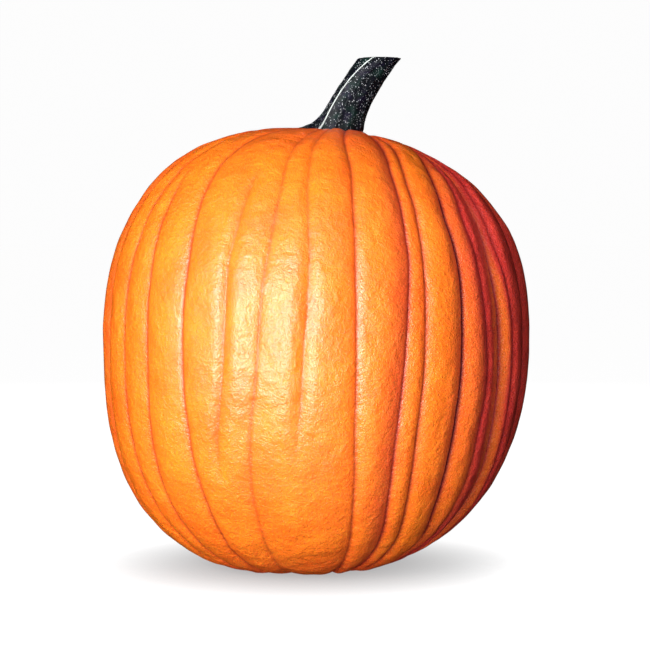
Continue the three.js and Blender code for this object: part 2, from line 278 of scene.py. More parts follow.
def furrow_relief(azimuth, level, radius, belly_radius):
    """Depth below the bare skin, tint beside the creases, and painted shade: crimson, and a dark crease
    line.
    """
    narrowing = radius / belly_radius
    crease_width = CREASE_WIDTH * np.sqrt(narrowing)
    depth = np.zeros_like(radius)
    tint = np.zeros_like(radius)
    crimson_shade = np.zeros_like(radius)
    crease_shade_line = np.zeros_like(radius)
    deepest = max(crease for _, crease, *_ in FURROWS)
    row_levels = level[:, 0]
    for index, (_, crease, valley, left_reach, right_reach, *_) in enumerate(FURROWS):
        centre = azimuth_of(index, row_levels)[:, None]
        shown = np.broadcast_to(presence(index, row_levels), row_levels.shape)[:, None]
        turn = (azimuth - centre + 180) % 360 - 180
        away = np.radians(turn) * radius
        reach = np.where(turn < 0, left_reach, right_reach) * narrowing ** VALLEY_NARROWING
        blunt = np.hypot(away, CREASE_BLUNTNESS)
        broad = bell(away, reach)
        depth += shown * (crease * np.exp(-blunt / crease_width) + valley * broad)
        share = crease / deepest
        strength = LEAST_TINT + (1 - LEAST_TINT) * share
        tint = np.maximum(tint, shown * strength * np.exp(-blunt / TINT_WIDTH))
        # Painted crimson shade: broad on a crease's left side, which is turned from the light, and
        # narrow on its right.
        spread = np.where(turn < 0, bell(away, SHADE_REACH * reach), bell(away, SHADE_EDGE))
        strength = SHADE_PER_DEPTH * max(valley - SHALLOW_VALLEY, 0) * smooth(*SHADE_START, centre)
        crimson_shade = np.maximum(crimson_shade, shown * strength * spread)
        # Painted shade: a dark line down in each crease, stronger in the deeper ones.
        drawn = min(SHADE_LINE_STRENGTH * share ** SHADE_LINE_EASE, 1)
        crease_shade_line = np.maximum(crease_shade_line, shown * drawn * bell(away, SHADE_LINE_WIDTH))
    # Painted crimson shade over the whole right side, which is turned from the lights.
    past = azimuth - azimuth_of(SHADED_SIDE_FURROW, row_levels)[:, None]
    shaded_side = smooth(*SHADED_SIDE_START, past) * (1 - smooth(*SHADED_SIDE_END, azimuth))
    crimson_shade = np.clip(np.maximum(crimson_shade, shaded_side), 0, DEEPEST_SHADE)
    return depth * np.sqrt(narrowing), tint, crimson_shade, crease_shade_line


# ---------------------------------------------------------------- surfaces

def bare_skin(azimuth, level, belly_radius):
    """The fruit's skin without its furrows, and its radius about the axis."""
    slope = (level - 0.5) * math.pi
    upper = slope > 0
    right = np.sin(np.radians(azimuth))
    squareness = np.where(
        upper,
        UPPER_SQUARENESS + UPPER_RIGHT_FULLNESS * right,
        LOWER_SQUARENESS + LOWER_RIGHT_FULLNESS * right,
    )
    radius = belly_radius * np.abs(np.cos(slope)) ** (2 / squareness)
    climb = np.abs(np.sin(slope)) ** (2 / squareness)
    x = radius * right
    y = -radius * np.cos(np.radians(azimuth))
    crown = CROWN_HEIGHT * climb - CROWN_RECESS * bell(radius, CROWN_RECESS_RADIUS)
    crown = crown - CROWN_FALL * x * climb ** CROWN_FALL_REACH
    base = BLOSSOM_RECESS * bell(radius, BLOSSOM_RECESS_RADIUS) - BELLY_HEIGHT * climb
    base = base - SCAR_HEIGHT * bell(radius, SCAR_RADIUS)
    z = BELLY_HEIGHT - REST_CUT + np.where(upper, crown, base)
    x = x + np.where(upper, CROWN_SHIFT * bell(radius, CROWN_SHIFT_RADIUS) * climb, 0)
    return np.stack([x + AXIS_SHIFT[0], y + AXIS_SHIFT[1], z], -1), radius


def outward_of(surface, azimuth, level):
    """Unit normals of a surface function, from small steps to each side."""
    turn, rise = 0.4, 0.001
    along = surface(azimuth + turn, level) - surface(azimuth - turn, level)
    up = surface(azimuth, level + rise) - surface(azimuth, level - rise)
    normal = np.cross(along, up)
    return normal / np.linalg.norm(normal, axis=-1, keepdims=True)


def local_window(azimuth, level, radius, mark):
    """A soft patch round a mark's place, 1 in its middle."""
    centre, centre_level, half_breadth, half_length = mark[:4]
    turn = (azimuth - centre + 180) % 360 - 180
    across = np.radians(turn) * radius / half_breadth
    along = (level - centre_level) * SKIN_HEIGHT / half_length
    return np.exp(-(across ** 2 + along ** 2))


def skin_details(points, azimuth, level, radius):
    """Lumps, welts and wrinkles that stand out of the skin, in millimetres."""
    height = np.zeros_like(radius)
    for step, (breadth, length, lift) in enumerate(LUMPS):
        height += lift * relief_noise(points, (breadth, breadth, length), 3.1 * step)
    for mark in MARKS:
        height += mark[4] * local_window(azimuth, level, radius, mark)
    ripples = relief_noise(points, (WRINKLE_LENGTH, WRINKLE_LENGTH, WRINKLE_PITCH), 8.7)
    for wrinkle in WRINKLES:
        height += wrinkle[4] * ripples * local_window(azimuth, level, radius, wrinkle)
    return height


def stem_middle(height):
    """X of the stem's middle at a height."""
    rise = height - STEM_FOOT_HEIGHT
    return STEM_FOOT_X + STEM_LEAN * rise + STEM_BEND * rise * rise


def stem_ridges(azimuth, height, twist):
    """Height of the ridges as a share of the section, nearness to a crest, and its painted highlight.
    """
    climb = (height - STEM_FOOT_HEIGHT) / (STEM_CUT_HEIGHT - STEM_FOOT_HEIGHT)
    pitch = 360 / len(RIDGE_HEIGHTS)
    turn = (azimuth - FIRST_RIDGE - twist * climb ** TWIST_LATENESS) % 360
    nearest = np.round(turn / pitch).astype(int) % len(RIDGE_HEIGHTS)
    away = np.abs((turn + pitch / 2) % pitch - pitch / 2)
    crest = (1 - away / (pitch / 2)) ** 2
    minor = (away / (pitch / 2)) ** 2
    lift = np.array(RIDGE_HEIGHTS)[nearest] * crest + MINOR_RIDGE_HEIGHT * minor
    return lift, crest, np.array(RIDGE_HIGHLIGHTS)[nearest]


def stem_surface(azimuth, height, settings):
    """Points of the stem's side at azimuths and heights."""
    lift, *_ = stem_ridges(azimuth, height, math.degrees(settings.twist))
    showing = np.maximum(height - CROWN_LINE, 0)
    side = np.sin(np.radians(azimuth))
    downhill = FOOT_FLARE[0] * np.maximum(side, 0) * np.exp(-showing / FLARE_HEIGHT[0])
    toe = ((1 - side) / 2) ** TOE_NARROWNESS
    uphill = FOOT_FLARE[1] * toe * np.exp(-showing / FLARE_HEIGHT[1])
    spread = (FLUTE_FLOOR + lift) * (1 + downhill + uphill)
    worn = RIM_ROUNDING - np.minimum(STEM_CUT_HEIGHT - height, RIM_ROUNDING)
    inset = RIM_ROUNDING - np.sqrt(np.maximum(RIM_ROUNDING ** 2 - worn ** 2, 0))
    x = (settings.half_width / MM * spread - inset) * side
    y = -(settings.half_depth / MM * spread - inset) * np.cos(np.radians(azimuth))
    return np.stack([x + stem_middle(height) + AXIS_SHIFT[0], y + AXIS_SHIFT[1], height], -1)


# ---------------------------------------------------------------- mesh making

def closed_pile_faces(rows, sides):
    """Faces of a pile of rings whose last two points close its lower and upper ends."""
    low, high = rows * sides, rows * sides + 1
    top = (rows - 1) * sides
    faces = []
    for side in range(sides):
        following = (side + 1) % sides
        faces.append((low, following, side))
        faces.append((high, top + side, top + following))
        for row in range(rows - 1):
            here, above = row * sides, (row + 1) * sides
            faces.append((here + side, here + following, above + following, above + side))
    return faces


def make_piece(name, points, faces):
    """A smooth mesh piece from points in millimetres, riding on the only body."""
    mesh = bpy.data.meshes.new(name)
    mesh.from_pydata((points * MM).tolist(), [], faces)
    mesh.validate()
    mesh.shade_smooth()
    piece = bpy.data.objects.new(name, mesh)
    bpy.context.scene.collection.objects.link(piece)
    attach(piece, "root")
    return piece


def paint(piece, name, values):
    """Keeps one number for each point of a piece, for its material to read."""
    attribute = piece.data.attributes.new(name, "FLOAT", "POINT")
    attribute.data.foreach_set("value", np.ascontiguousarray(values, np.float32))


def add(tree, kind, inputs=None, **settings):
    """Adds a shader node with its settings, and sets or links each of the inputs given."""
    made = tree.nodes.new(kind)
    for name, value in settings.items():
        setattr(made, name, value)
    for socket, value in (inputs or {}).items():
        if isinstance(value, bpy.types.NodeSocket):
            tree.links.new(value, made.inputs[socket])
        else:
            made.inputs[socket].default_value = value
    return made


def new_material(name):
    material = bpy.data.materials.new(name)
    material.use_nodes = True
    material.node_tree.nodes.clear()
    return material, material.node_tree


# ---------------------------------------------------------------- materials

FACTOR, UNDER, OVER, MIXED = 0, 6, 7, 2  # sockets of a mix of two colours, and its output

PATCH_SIZE = 26              # millimetres between paler and deeper patches of rind
DIMPLE_SIZE = 9              # of the shallow dimples that break up its shine
DIMPLE_SHARE = 2.2           # how much higher they are than the mottling and the wrinkles
MOTTLE_SIZE = 3.2            # of its fine mottling
GRAIN_SIZE = 1.3             # between its finest wrinkles, drawn as coarse as they need to show
TEAL_PATCH_SIZE = 11         # of the stem's greener patches
VIOLET_PATCH_SIZE = 7        # of its bruised ones, which are also raised a little
FLECK_SIZE = 1.15            # between the pale flecks on the stem
BRISTLE_PATCH_SIZE = 2.5     # between greener and paler bristles
CUT_FIBRE_SIZE = 1.1         # between the fibres of the cut
PAPER_GLOW = 1.12            # strength of the paper's own light
PAPER_SHARE = 0.1            # share of what it shows that it takes from the lights in front
CONTACT_SHADOW_REACH = 50           # height up to which a painted contact shadow greys the paper below the fruit
CONTACT_SHADOW_SHARE = 0.55         # how far that painted shadow greys it


def waxy_rind(settings):
    """Ripe pumpkin rind, grown: an orange skin under a thin natural wax.

    The wax gives broad, creamy highlights that break up over the dimples and fine wrinkles of the
    skin. The skin reddens beside the creases and is corky at the blossom scar. Painted shade turns
    it red-orange round the stem and underneath and crimson in the deep valleys and down the right
    side, with a dark painted line of shade down each deep crease, where the wax is left off too.
    The coat's IOR is above the 1.45 of plain wax, for the strong shine of a rubbed fruit.
    """
    material, tree = new_material("Waxy pumpkin rind")
    place = add(tree, "ShaderNodeTexCoord").outputs["Object"]
    # Apart from the furrow tint and the scar, these attributes carry painted shade: crimson, red-orange
    # at the ends and a dark crease line.
    furrow, crimson_shade, crease, ends, scar = (
        add(tree, "ShaderNodeAttribute", attribute_name=name).outputs["Fac"]
        for name in ("furrow", "crimson_shade", "crease", "ends", "scar")
    )
    patches = add(tree, "ShaderNodeTexNoise", {
        "Vector": place, "Scale": 1 / (PATCH_SIZE * MM), "Detail": 3.0, "Roughness": 0.55,
    })
    mottle = add(tree, "ShaderNodeTexNoise", {
        "Vector": place, "Scale": 1 / (MOTTLE_SIZE * MM), "Detail": 2.0, "Roughness": 0.6,
    })
    grain = add(tree, "ShaderNodeTexNoise", {
        "Vector": place, "Scale": 1 / (GRAIN_SIZE * MM), "Detail": 1.0, "Distortion": 0.8,
    })
    patch_share = add(tree, "ShaderNodeMapRange", {
        "Value": patches.outputs["Fac"], "From Min": 0.35, "From Max": 0.68,
    })
    mottle_share = add(tree, "ShaderNodeMapRange", {
        "Value": mottle.outputs["Fac"], "From Min": 0.3, "From Max": 0.75, "To Max": 0.5,
    })
    grain_share = add(tree, "ShaderNodeMapRange", {
        "Value": grain.outputs["Fac"], "From Min": 0.35, "From Max": 0.65, "To Max": 0.3,
    })
    colour = settings.crest_colour
    # The crimson, end and crease colours below lay painted shade on the rind. The end colour also tints
    # its fine grain.
    for share, over in (
        (patch_share.outputs[0], settings.flank_colour),
        (mottle_share.outputs[0], settings.flank_colour),
        (furrow, settings.furrow_colour),
        (crimson_shade, settings.crimson_shade_colour),
        (ends, settings.end_shade_and_grain_colour),
        (grain_share.outputs[0], settings.end_shade_and_grain_colour),
        (crease, settings.crease_shade_colour),
        (scar, settings.scar_colour),
    ):
        colour = add(tree, "ShaderNodeMix", {
            FACTOR: share, UNDER: colour, OVER: over,
        }, data_type="RGBA").outputs[MIXED]
    dimples = add(tree, "ShaderNodeTexNoise", {
        "Vector": place, "Scale": 1 / (DIMPLE_SIZE * MM), "Detail": 1.0, "Distortion": 0.4,
    })
    relief = add(tree, "ShaderNodeMath", {
        0: mottle.outputs["Fac"], 1: grain.outputs["Fac"],
    }, operation="ADD")
    relief = add(tree, "ShaderNodeMath", {
        0: dimples.outputs["Fac"], 1: DIMPLE_SHARE, 2: relief.outputs[0],
    }, operation="MULTIPLY_ADD")
    bump = add(tree, "ShaderNodeBump", {
        "Height": relief.outputs[0], "Strength": 1.0, "Distance": 0.7 * MM,
    })
    wax_bump = add(tree, "ShaderNodeBump", {
        "Height": relief.outputs[0], "Strength": 0.5, "Distance": 0.6 * MM,
    })
    roughness = add(tree, "ShaderNodeMapRange", {
        "Value": mottle.outputs["Fac"], "From Min": 0.3, "From Max": 0.7,
        "To Min": 0.32, "To Max": 0.46,
    })
    wax = add(tree, "ShaderNodeMapRange", {"Value": crease, "To Min": 1.0, "To Max": 0.0})
    skin = add(tree, "ShaderNodeBsdfPrincipled", {
        "Base Color": colour, "Roughness": roughness.outputs[0], "Normal": bump.outputs[0],
        "IOR": 1.45, "Subsurface Weight": 0.12, "Subsurface Scale": 0.003,
        "Subsurface Radius": (1.0, 0.2, 0.06), "Coat Weight": wax.outputs[0], "Coat Roughness": 0.24,
        "Coat IOR": 1.6, "Coat Normal": wax_bump.outputs[0],
    })
    add(tree, "ShaderNodeOutputMaterial", {"Surface": skin.outputs[0]})
    return material


def dry_stem_skin(settings):
    """Dried skin of a pumpkin stem, grown: near-black green, fibrous and rough.

    It looks dark and a little glossy along the flutes, with teal and violet patches, a painted
    highlight along the ridge crests and a scatter of pale flecks where bristles broke off. Its fibres
    scatter part of what a smooth skin would mirror, so the specular level is half the usual one.
    """
    material, tree = new_material("Dry pumpkin stem skin")
    place = add(tree, "ShaderNodeTexCoord").outputs["Object"]
    crest = add(tree, "ShaderNodeAttribute", attribute_name="crest").outputs["Fac"]
    patches = add(tree, "ShaderNodeTexNoise", {
        "Vector": place, "Scale": 1 / (TEAL_PATCH_SIZE * MM), "Detail": 2.0,
    })
    second = add(tree, "ShaderNodeTexNoise", {
        "Vector": place, "Scale": 1 / (VIOLET_PATCH_SIZE * MM), "Detail": 2.0, "Distortion": 0.6,
    })
    flecks = add(tree, "ShaderNodeTexVoronoi", {
        "Vector": place, "Scale": 1 / (FLECK_SIZE * MM), "Randomness": 1.0,
    })
    teal_share = add(tree, "ShaderNodeMapRange", {
        "Value": patches.outputs["Fac"], "From Min": 0.52, "From Max": 0.72,
    })
    violet_share = add(tree, "ShaderNodeMapRange", {
        "Value": second.outputs["Fac"], "From Min": 0.5, "From Max": 0.7, "To Max": 0.8,
    })
    # Painted highlight along the ridge crests, strongest on the crest turned to the light.
    ridge_highlight_share = add(tree, "ShaderNodeMapRange", {
        "Value": crest, "From Min": 0.84, "From Max": 0.95, "To Max": 0.8,
    })
    dots = add(tree, "ShaderNodeMapRange", {
        "Value": flecks.outputs["Distance"], "From Min": 0.34, "From Max": 0.2,
    })
    chosen = add(tree, "ShaderNodeSeparateColor", {"Color": flecks.outputs["Color"]})
    kept = add(tree, "ShaderNodeMapRange", {
        "Value": chosen.outputs[0], "From Min": 0.5, "From Max": 0.9,
    })
    fleck_share = add(tree, "ShaderNodeMath", {
        0: dots.outputs[0], 1: kept.outputs[0],
    }, operation="MULTIPLY")
    colour = settings.dark_colour
    for share, over in (
        (violet_share, settings.violet_colour),
        (teal_share, settings.teal_colour),
        (ridge_highlight_share, settings.crest_colour),
        (fleck_share, settings.fleck_colour),
    ):
        colour = add(tree, "ShaderNodeMix", {
            FACTOR: share.outputs[0], UNDER: colour, OVER: over,
        }, data_type="RGBA").outputs[MIXED]
    bump = add(tree, "ShaderNodeBump", {
        "Height": second.outputs["Fac"], "Strength": 0.4, "Distance": 0.5 * MM,
    })
    skin = add(tree, "ShaderNodeBsdfPrincipled", {
        "Base Color": colour, "Roughness": 0.4, "Normal": bump.outputs[0],
        "Specular IOR Level": 0.25,
    })
    add(tree, "ShaderNodeOutputMaterial", {"Surface": skin.outputs[0]})
    return material


def dry_cut_face(settings):
    """Dried cut across a pumpkin stem: corky, pale olive, with rays out from a darker pith."""
    material, tree = new_material("Dried cut of the stem")
    place = add(tree, "ShaderNodeTexCoord").outputs["Object"]
    pith = add(tree, "ShaderNodeAttribute", attribute_name="pith").outputs["Fac"]
    fibres = add(tree, "ShaderNodeTexNoise", {
        "Vector": place, "Scale": 1 / (CUT_FIBRE_SIZE * MM), "Detail": 3.0,
    })
    share = add(tree, "ShaderNodeMapRange", {
        "Value": fibres.outputs["Fac"], "From Min": 0.35, "From Max": 0.65,
    })
    colour = add(tree, "ShaderNodeMix", {
        FACTOR: share.outputs[0], UNDER: settings.cut_colour, OVER: settings.cut_shade_colour,
    }, data_type="RGBA").outputs[MIXED]
    colour = add(tree, "ShaderNodeMix", {
        FACTOR: pith, UNDER: colour, OVER: settings.dark_colour,
    }, data_type="RGBA").outputs[MIXED]
    bump = add(tree, "ShaderNodeBump", {
        "Height": fibres.outputs["Fac"], "Strength": 0.6, "Distance": 0.5 * MM,
    })
    face = add(tree, "ShaderNodeBsdfPrincipled", {
        "Base Color": colour, "Roughness": 0.85, "Normal": bump.outputs[0],
    })
    add(tree, "ShaderNodeOutputMaterial", {"Surface": face.outputs[0]})
    return material


def dry_bristle(settings):
    """Dried plant bristle: pale, horny and slightly glossy, so that it glints against the stem."""
    material, tree = new_material("Dried bristle")
    place = add(tree, "ShaderNodeTexCoord").outputs["Object"]
    varied = add(tree, "ShaderNodeTexNoise", {
        "Vector": place, "Scale": 1 / (BRISTLE_PATCH_SIZE * MM),
    })
    share = add(tree, "ShaderNodeMapRange", {
        "Value": varied.outputs["Fac"], "From Min": 0.4, "From Max": 0.6,
    })
    colour = add(tree, "ShaderNodeMix", {
        FACTOR: share.outputs[0], UNDER: settings.teal_colour, OVER: settings.fleck_colour,
    }, data_type="RGBA").outputs[MIXED]
    horn = add(tree, "ShaderNodeBsdfPrincipled", {"Base Color": colour, "Roughness": 0.4})
    add(tree, "ShaderNodeOutputMaterial", {"Surface": horn.outputs[0]})
    return material


def matt_backdrop(name, colour):
    """Plain matt paper, uncoated and lit evenly from behind, with hardly any light from in front.

    A painted contact shadow greys it only where the fruit stands on it and hangs close over it.
    """
    material, tree = new_material(name)
    paper = add(tree, "ShaderNodeBsdfDiffuse", {"Color": colour, "Roughness": 0.0})
    # Painted contact shadow: ambient occlusion from the fruit greys the paper's own glow.
    contact_shadow = add(tree, "ShaderNodeAmbientOcclusion", {
        "Color": colour, "Distance": CONTACT_SHADOW_REACH * MM,
    })
    shadowed_tone = add(tree, "ShaderNodeMix", {
        FACTOR: CONTACT_SHADOW_SHARE, UNDER: colour, OVER: contact_shadow.outputs["Color"],
    }, data_type="RGBA").outputs[MIXED]
    glow = add(tree, "ShaderNodeEmission", {"Color": shadowed_tone, "Strength": PAPER_GLOW})
    both = add(tree, "ShaderNodeMixShader", {
        0: PAPER_SHARE, 1: glow.outputs[0], 2: paper.outputs[0],
    })
    add(tree, "ShaderNodeOutputMaterial", {"Surface": both.outputs[0]})
    return material


# ---------------------------------------------------------------- settings

def colour_property(name, description, code):
    return bpy.props.FloatVectorProperty(
        name=name, description=description, subtype="COLOR", size=4, min=0, max=1,
        default=(*linear(code), 1.0),
    )


class FruitSettings(bpy.types.PropertyGroup):
    belly_radius: bpy.props.FloatProperty(
        name="Belly radius", description="Half the fruit's width before its furrows sink in",
        default=0.1505, unit="LENGTH")
    lobe_columns: bpy.props.IntProperty(
        name="Columns a lobe", description="Mesh columns across each lobe", default=16)
    rows: bpy.props.IntProperty(
        name="Rows", description="Mesh rows from the blossom end to the crown", default=218)
    crest_colour: colour_property("Crest", "Rind on the lobes' crests", "#F28218")
    flank_colour: colour_property("Flank", "Deeper orange of its patches and mottling", "#EA6E12")
    furrow_colour: colour_property("Furrow", "Redder rind down in the furrows", "#CE4410")
    # Crimson of the painted shade in the deep valleys and down the right side.
    crimson_shade_colour: colour_property("Stain", "Crimson of the deep valleys and the right side", "#B01830")
    # Painted shade: the dark line down in a deep crease.
    crease_shade_colour: colour_property("Crease", "Dark line down in a deep crease", "#480612")
    # Red-orange of the painted shade round the stem and underneath, also tinting the fine grain.
    end_shade_and_grain_colour: colour_property("Ends", "Red-orange rind round the stem and underneath", "#DA3E26")
    scar_colour: colour_property("Scar", "Cork of the blossom scar", "#9A7B50")


class StemSettings(bpy.types.PropertyGroup):
    half_width: bpy.props.FloatProperty(
        name="Half width", description="Middle of the stem to its side, left to right",
        default=0.0152, unit="LENGTH")
    half_depth: bpy.props.FloatProperty(
        name="Half depth", description="Middle of the stem to its side, front to back",
        default=0.0125, unit="LENGTH")
    twist: bpy.props.FloatProperty(
        name="Twist", description="Turn of the ridges from the foot to the cut",
        default=math.radians(26), subtype="ANGLE")
    sides: bpy.props.IntProperty(name="Sides", description="Mesh columns round", default=160)
    rows: bpy.props.IntProperty(name="Rows", description="Mesh rows up the stem", default=110)
    prickles: bpy.props.IntProperty(
        name="Prickles", description="Number of bristle stubs", default=700)
    dark_colour: colour_property("Dark", "Main colour of the dried skin", "#090C10")
    teal_colour: colour_property("Teal", "Greener patches", "#112420")
    violet_colour: colour_property("Violet", "Bruised patches", "#130F22")
    # Pale colour of the painted highlight along the ridge crests.
    crest_colour: colour_property("Ridge crest", "Worn wax on the ridges", "#C4CCC8")
    fleck_colour: colour_property("Fleck", "Pale broken bristles", "#A8ACB0")
    cut_colour: colour_property("Cut", "Corky face of the cut", "#9C966E")
    cut_shade_colour: colour_property("Cut shade", "Darker fibres of the cut", "#5E5A3E")


class StageSettings(bpy.types.PropertyGroup):
    aim: bpy.props.FloatVectorProperty(
        name="Aim", description="Point that the camera looks at",
        default=(0.0061, 0.0, 0.1695), subtype="TRANSLATION")
    distance: bpy.props.FloatProperty(
        name="Distance", description="Camera to the point it looks at",
        default=1.5, unit="LENGTH")
    elevation: bpy.props.FloatProperty(
        name="Elevation", description="How far above the level the camera stands",
        default=math.radians(2.5), subtype="ANGLE")
    lens: bpy.props.FloatProperty(
        name="Lens", description="Focal length in millimetres", default=117.1)
    reach: bpy.props.FloatProperty(
        name="Reach", description="Middle of the floor to its edge and to the surround",
        default=30.0, unit="LENGTH")
    key_power: bpy.props.FloatProperty(
        name="Key light", description="Power of the tall soft light at the left", default=27,
        unit="POWER")
    front_power: bpy.props.FloatProperty(
        name="Front light", description="Power of the soft light in front", default=11,
        unit="POWER")
    bounce_power: bpy.props.FloatProperty(
        name="Bounce", description="Power of the light that the pale floor throws back up",
        default=5.5, unit="POWER")
    sheen_power: bpy.props.FloatProperty(
        name="Sheen light", description="Power of the light that only the wax mirrors",
        default=10.5, unit="POWER")
    top_power: bpy.props.FloatProperty(
        name="Top light", description="Power of the broad soft light above", default=11,
        unit="POWER")
    side_power: bpy.props.FloatProperty(
        name="Side light", description="Power of the soft light from the left", default=9,
        unit="POWER")
    back_power: bpy.props.FloatProperty(
        name="Back light", description="Power of the soft light behind", default=14,
        unit="POWER")
    fill: bpy.props.FloatProperty(
        name="Fill", description="Strength of the light from all round", default=0.17)
    fill_colour: colour_property("Fill colour", "Light from all round", "#FFF4FA")
    floor_colour: colour_property("Paper", "Pale paper under and round the pumpkin", "#FAFAFA")


# ---------------------------------------------------------------- operators

class PUMPKIN_OT_fruit(bpy.types.Operator):
    """Build the ribbed fruit with its waxy rind"""

    bl_idname = "pumpkin.fruit"
    bl_label = "Fruit"

    def execute(self, context):
        settings = context.scene.pumpkin_fruit
        belly = settings.belly_radius / MM
        azimuth, level = fruit_grid(settings.rows, settings.lobe_columns)
        points, radius = bare_skin(azimuth, level, belly)
        normal = outward_of(lambda a, t: bare_skin(a, t, belly)[0], azimuth, level)
        depth, tint, crimson_shade, crease_shade_line = furrow_relief(azimuth, level, radius, belly)
        details = skin_details(points, azimuth, level, radius)
        open_skin = smooth(*OPEN_SKIN, radius / belly)
        points = points + normal * (details * open_skin - depth)[..., None]
        points[..., 2] = np.maximum(points[..., 2], 0)
        rows, columns = azimuth.shape
        tips = np.array([bare_skin(np.zeros(1), np.full(1, end), belly)[0][0] for end in (0.0, 1.0)])
        all_points = np.concatenate([points.reshape(-1, 3), tips])
        fruit = make_piece("pumpkin_fruit", all_points, closed_pile_faces(rows, columns))
        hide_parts("fruit")
        paint(fruit, "furrow", np.append(np.clip(tint, 0, 1).ravel(), (0, 0)))
        # Painted crimson shade beside the deep valleys and down the right side.
        paint(fruit, "crimson_shade", np.append(crimson_shade.ravel(), (0, 0)))
        # Painted dark line of shade down in each crease, where the wax is also left off.
        paint(fruit, "crease", np.append(crease_shade_line.ravel(), (0, 0)))
        # Painted red-orange shade round the stem's hollow and under the fruit, a little uneven.
        crown_shade = CROWN_SHADE * smooth(*CROWN_SHADE_RADII, radius) * smooth(*CROWN_SHADE_LEVELS, level)
        base_shade = BASE_SHADE * smooth(*BASE_SHADE_LEVELS, level)
        uneven = 1 + END_SHADE_UNEVENNESS * relief_noise(points, END_SHADE_PATCHES, 5.5)
        ends = np.clip(np.maximum(crown_shade, base_shade) * uneven, 0, 1)
        paint(fruit, "ends", np.append(ends.ravel(), TIP_SHADES))
        scar = smooth(*SCAR_EDGE, radius / SCAR_RADIUS) * (level < 0.5)
        paint(fruit, "scar", np.append(scar.ravel(), (1, 0)))
        fruit.data.materials.append(waxy_rind(settings))
        return {"FINISHED"}


def fruit_grid(rows, columns_a_lobe):
    """Azimuth and level of each mesh point: columns follow the furrows and crowd towards them."""
    levels = np.arange(1, rows) / rows
    centres = np.stack([azimuth_of(index, levels) for index in range(len(FURROWS))], 1)
    closed = np.concatenate([centres, centres[:, :1] + 360], 1)
    step = np.arange(columns_a_lobe) / columns_a_lobe
    share = step - LOBE_CROWDING * np.sin(2 * math.pi * step) / (2 * math.pi)
    breadth = np.diff(closed, axis=1)
    azimuth = (closed[:, :-1, None] + breadth[..., None] * share).reshape(len(levels), -1)
    return azimuth, np.repeat(levels[:, None], azimuth.shape[1], 1)


class PUMPKIN_OT_stem(bpy.types.Operator):
    """Build the ridged stem with its dried cut"""

    bl_idname = "pumpkin.stem"
    bl_label = "Stem"

    def execute(self, context):
        settings = context.scene.pumpkin_stem
        turns = np.arange(settings.sides) * 360 / settings.sides
        heights = np.linspace(STEM_FOOT_HEIGHT, STEM_CUT_HEIGHT, settings.rows)
        azimuth, height = np.meshgrid(turns, heights)
        points = stem_surface(azimuth, height, settings)
        fibres = relief_noise(points, FIBRE_SIZES, 1.7)
        outward = outward_of(lambda a, h: stem_surface(a, h, settings), azimuth, height)
        free = smooth(0, FIBRE_FADE, STEM_CUT_HEIGHT - height)
        points = points + outward * (FIBRE_HEIGHT * fibres * free)[..., None]
        _, crest, highlight_strength = stem_ridges(azimuth, height, math.degrees(settings.twist))
        rim = points[-1]
        middle = np.array([stem_middle(STEM_CUT_HEIGHT) + AXIS_SHIFT[0], AXIS_SHIFT[1], rim[0, 2]])
        shares = np.linspace(1, 0, CUT_RINGS + 2)[1:-1]
        rays = np.stack([turns, 0 * turns, 0 * turns], -1)
        rays = relief_noise(rays, (CUT_RAY_ANGLE, 1, 1), 2.2)
        cut = np.stack([middle + (rim - middle) * share for share in shares])
        cut[..., 2] -= CUT_DISH * (1 - shares[:, None] ** 2) * (1 + CUT_RAY_DEPTH * rays)
        foot = np.array([stem_middle(STEM_FOOT_HEIGHT), 0, STEM_FOOT_HEIGHT])
        pith_point = middle - np.array([0, 0, CUT_DISH])
        grid = np.concatenate([points, cut])
        all_points = np.concatenate([grid.reshape(-1, 3), [foot, pith_point]])
        faces = closed_pile_faces(len(grid), settings.sides)
        stem = make_piece("pumpkin_stem", all_points, faces)
        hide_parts("stem")
        # Painted highlight along each ridge crest.
        ridge_highlights = np.concatenate([crest * highlight_strength, np.zeros(cut.shape[:2])]).ravel()
        paint(stem, "crest", np.append(ridge_highlights, (0, 0)))
        inward = np.repeat(1 - shares[:, None], settings.sides, 1)
        pith = np.concatenate([np.zeros(crest.shape), inward])
        paint(stem, "pith", np.append(smooth(*PITH_EDGE, pith).ravel(), (0, 1)))
        stem.data.materials.append(dry_stem_skin(settings))
        stem.data.materials.append(dry_cut_face(settings))
        first_cut_point = (settings.rows - 1) * settings.sides
        for face in stem.data.polygons:
            if min(face.vertices) >= first_cut_point:
                face.material_index = 1
        return {"FINISHED"}


class PUMPKIN_OT_prickles(bpy.types.Operator):
    """Scatter stubs of broken bristles over the stem"""

    bl_idname = "pumpkin.prickles"
    bl_label = "Prickles"

    def execute(self, context):
        settings = context.scene.pumpkin_stem
        draw = random.Random(SEED)
        points, faces = [], []
        for _ in range(settings.prickles):
            azimuth = np.array([draw.uniform(0, 360)])
            height = np.array([draw.uniform(*PRICKLE_HEIGHTS)])
            root = stem_surface(azimuth, height, settings)[0]
            out = outward_of(lambda a, h: stem_surface(a, h, settings), azimuth, height)[0]
            breadth = draw.uniform(*PRICKLE_BREADTHS)
            length = draw.uniform(*PRICKLE_LENGTHS)
            across = np.cross(out, (0, 0, 1))
            across /= np.linalg.norm(across)
            along = np.cross(across, out)
            first = len(points)
            for side in range(PRICKLE_SIDES):
                turn = 2 * math.pi * side / PRICKLE_SIDES
                ring = across * math.cos(turn) + along * math.sin(turn)
                points.append(root - PRICKLE_ROOT * out + breadth * ring)
            lean = along * draw.uniform(-1, 1) + across * draw.uniform(-1, 1)
            points.append(root + length * out + PRICKLE_LEAN * length * lean)
            faces.append(tuple(first + side for side in reversed(range(PRICKLE_SIDES))))
            for side in range(PRICKLE_SIDES):
                following = (side + 1) % PRICKLE_SIDES
                faces.append((first + side, first + following, first + PRICKLE_SIDES))
        prickles = make_piece("stem_prickles", np.array(points), faces)
        prickles.data.materials.append(dry_bristle(settings))
        return {"FINISHED"}


